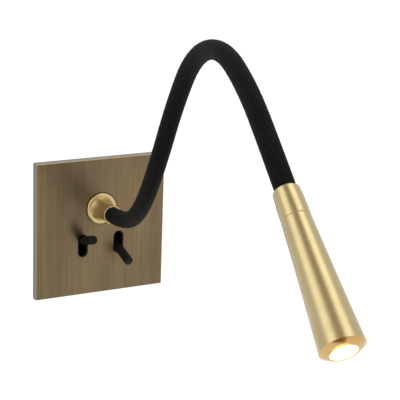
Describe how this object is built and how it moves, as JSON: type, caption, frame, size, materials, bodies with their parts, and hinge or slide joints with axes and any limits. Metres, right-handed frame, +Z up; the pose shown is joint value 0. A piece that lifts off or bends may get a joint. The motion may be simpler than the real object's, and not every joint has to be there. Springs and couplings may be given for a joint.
{
  "type": "bedside wall reading lamp",
  "caption": "Square wall plate with two toggle switches and a bendable sleeved arm that carries a slim cone-shaped reading light.",
  "frame": {"origin": "middle of the square plate, on the plane of the wall, half way between the two fixing holes", "axes": "+Z up along the wall, +X to the right seen from the room, +Y into the wall, so the arm reaches out along -Y"},
  "size_m": [0.1191, 0.4308, 0.2188],
  "materials": {
    "antique_brass": "brushed, bronzed and lacquered",
    "satin_brass": "fine satin, lacquered",
    "plain_brass": "machined",
    "plated_steel": "zinc plated",
    "conduit_steel": "wound steel wire",
    "black_lever": "matt black",
    "black_moulding": "moulded, matt black",
    "braided_textile": "black braided polyester",
    "cable_sheath": "black sheath",
    "wire_insulation": "coloured insulation",
    "terminal_moulding": "white polyamide",
    "raw_aluminium": "turned",
    "board_mask": "white solder mask",
    "emitter_phosphor": "yellow phosphor in silicone",
    "clear_lens": "clear acrylic",
    "silicone": "translucent silicone"
  },
  "bodies": {
    "wall_plate": {"face_plate": "antique_brass", "wall_bracket": "plated_steel", "plate_grub_screws": "plated_steel", "collar": "satin_brass", "collar_grub_screw": "plated_steel", "nipple": "plain_brass", "earth_tag": "plain_brass", "nipple_washer": "plated_steel", "nipple_nut": "plain_brass", "cable_grip": "black_moulding", "switch_carrier": "black_moulding", "carrier_nuts": "plated_steel", "switch_screws": "plated_steel", "terminal_block": "terminal_moulding", "terminal_screws": "plated_steel", "left_switch_housing": "black_moulding", "left_switch_pin": "plated_steel", "left_switch_contacts": "plain_brass", "right_switch_housing": "black_moulding", "right_switch_pin": "plated_steel", "right_switch_contacts": "plain_brass", "sleeve_1": "braided_textile", "conduit_1": "conduit_steel", "cable_1": "cable_sheath", "inner_wires": "wire_insulation"},
    "left_lever": {"left_switch_lever": "black_lever"},
    "right_lever": {"right_switch_lever": "black_lever"},
    "arm_2": {"sleeve_2": "braided_textile", "conduit_2": "conduit_steel", "cable_2": "cable_sheath"},
    "arm_3": {"sleeve_3": "braided_textile", "conduit_3": "conduit_steel", "cable_3": "cable_sheath"},
    "arm_4": {"sleeve_4": "braided_textile", "conduit_4": "conduit_steel", "cable_4": "cable_sheath"},
    "arm_5": {"sleeve_5": "braided_textile", "conduit_5": "conduit_steel", "cable_5": "cable_sheath"},
    "arm_6": {"sleeve_6": "braided_textile", "conduit_6": "conduit_steel", "cable_6": "cable_sheath"},
    "arm_7": {"sleeve_7": "braided_textile", "conduit_7": "conduit_steel", "cable_7": "cable_sheath"},
    "head": {"sleeve_8": "braided_textile", "conduit_8": "conduit_steel", "cable_8": "cable_sheath", "neck_cap": "satin_brass", "neck_grub_screw": "plated_steel", "head_shell": "satin_brass", "front_ring": "satin_brass", "lens": "clear_lens", "lens_gasket": "silicone", "lens_holder": "black_moulding", "led_emitter": "emitter_phosphor", "led_board": "board_mask", "board_screws": "plated_steel", "heat_sink": "raw_aluminium", "led_leads": "wire_insulation"}
  },
  "joints": [
    {"name": "left_toggle", "type": "hinge", "parent": "wall_plate", "child": "left_lever", "pos_m": [-0.0141, 0.0068, -0.0134], "axis": [1, 0, 0], "range_deg": [0, 34.8]},
    {"name": "right_toggle", "type": "hinge", "parent": "wall_plate", "child": "right_lever", "pos_m": [0.0141, 0.0068, -0.0134], "axis": [1, 0, 0], "range_deg": [-34.8, 0]},
    {"name": "arm_lift_1", "type": "hinge", "parent": "wall_plate", "child": "arm_2", "pos_m": [-0.00476, -0.07041, 0.02535], "axis": [-0.9797, 0.194, -0.0511], "range_deg": [-25, 25]},
    {"name": "arm_sway_1", "type": "hinge", "parent": "arm_2", "child": "arm_3", "pos_m": [-0.01173, -0.10577, 0.05626], "axis": [0.1089, 0.7806, 0.6155], "range_deg": [-25, 25]},
    {"name": "arm_lift_2", "type": "hinge", "parent": "arm_3", "child": "arm_4", "pos_m": [-0.01469, -0.13174, 0.0962], "axis": [-0.9924, 0.119, 0.0309], "range_deg": [-25, 25]},
    {"name": "arm_sway_2", "type": "hinge", "parent": "arm_4", "child": "arm_5", "pos_m": [-0.0177, -0.1586, 0.13552], "axis": [0.1059, 0.752, 0.6506], "range_deg": [-25, 25]},
    {"name": "arm_lift_3", "type": "hinge", "parent": "arm_5", "child": "arm_6", "pos_m": [-0.02424, -0.19801, 0.16039], "axis": [-0.9853, 0.1698, -0.0208], "range_deg": [-25, 25]},
    {"name": "arm_sway_3", "type": "hinge", "parent": "arm_6", "child": "arm_7", "pos_m": [-0.03311, -0.24435, 0.1592], "axis": [-0.08, -0.2864, 0.9548], "range_deg": [-25, 25]},
    {"name": "arm_lift_4", "type": "hinge", "parent": "arm_7", "child": "head", "pos_m": [-0.04182, -0.28699, 0.13973], "axis": [-0.9775, 0.2102, -0.0185], "range_deg": [-25, 25]}
  ]
}
